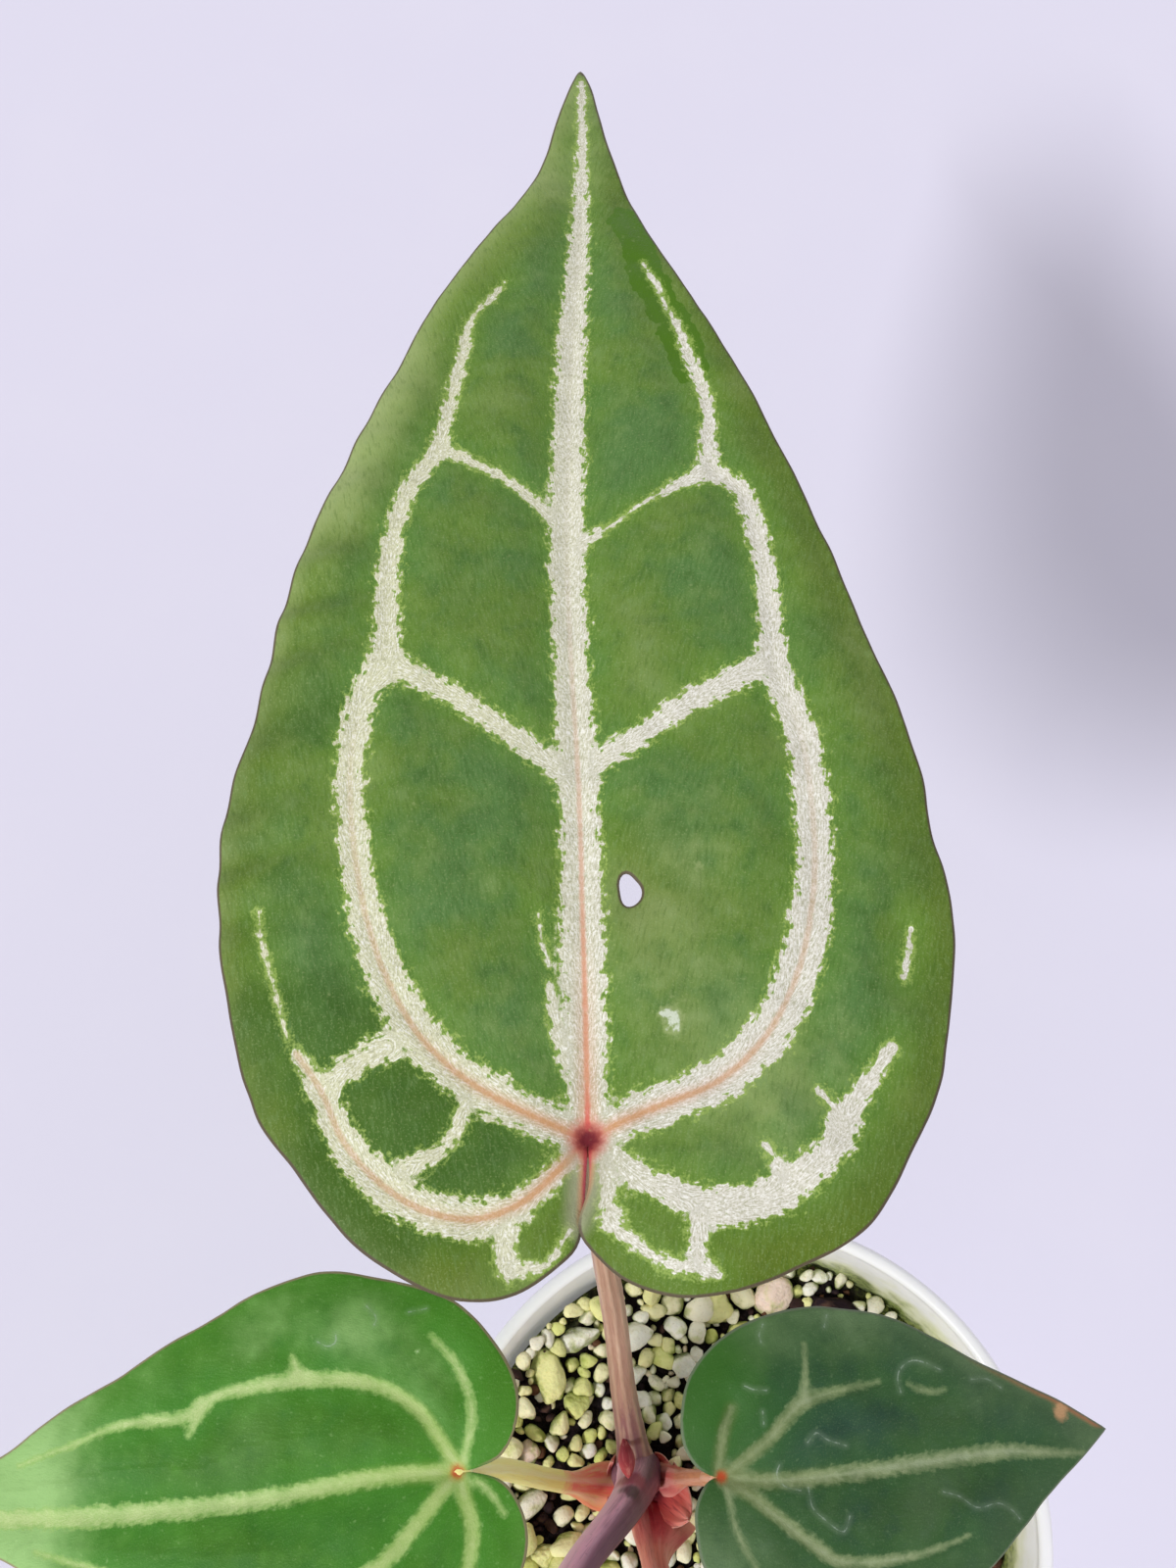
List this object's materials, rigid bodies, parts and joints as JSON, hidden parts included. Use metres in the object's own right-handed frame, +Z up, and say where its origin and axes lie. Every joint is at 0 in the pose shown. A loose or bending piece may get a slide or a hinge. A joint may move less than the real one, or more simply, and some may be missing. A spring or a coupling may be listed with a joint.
{
  "type": "potted michelle anthurium",
  "caption": "Velvet-leaved anthurium with heart-shaped, silver-veined leaves on ridged stalks, growing in a round white nursery pot.",
  "frame": {"origin": "centre of the pot's flat underside", "axes": "+Z up; +Y the way the largest leaf points; +X to its right seen from above"},
  "size_m": [0.2027, 0.381, 0.1799],
  "materials": {
    "pot_plastic": "satin",
    "potting_mix": "matte",
    "stem_skin": "satin",
    "leaf_velvet_green": "matte",
    "leaf_velvet_bright": "matte",
    "leaf_velvet_dark": "matte",
    "petiole_skin_tan": "satin",
    "petiole_skin_lime": "satin",
    "petiole_skin_salmon": "satin",
    "petiole_skin_mauve": "satin",
    "petiole_skin_red": "satin",
    "sheath_skin": "satin",
    "pumice": "matte",
    "bark": "matte"
  },
  "bodies": {
    "root": {"pot": "pot_plastic", "substrate": "potting_mix", "stem": "stem_skin", "leaf_main": "leaf_velvet_green", "petiole_main": "petiole_skin_tan", "leaf_left": "leaf_velvet_bright", "petiole_left": "petiole_skin_lime", "leaf_right": "leaf_velvet_dark", "petiole_right": "petiole_skin_salmon", "leaf_front_left": "leaf_velvet_green", "petiole_front_left": "petiole_skin_mauve", "leaf_front_right": "leaf_velvet_green", "petiole_front_right": "petiole_skin_red", "sheath_back": "sheath_skin", "sheath_right": "sheath_skin", "sheath_left": "sheath_skin", "sheath_inner": "sheath_skin", "pumice_1": "pumice", "pumice_2": "pumice", "pumice_3": "pumice", "pumice_4": "pumice", "pumice_5": "pumice", "pumice_6": "pumice", "pumice_7": "pumice", "pumice_8": "pumice", "pumice_9": "pumice", "pumice_10": "pumice", "pumice_11": "pumice", "pumice_12": "pumice", "pumice_13": "pumice", "pumice_14": "pumice", "pumice_15": "pumice", "bark_1": "bark", "bark_2": "bark", "bark_3": "bark", "bark_4": "bark", "bark_5": "bark"}
  },
  "joints": []
}
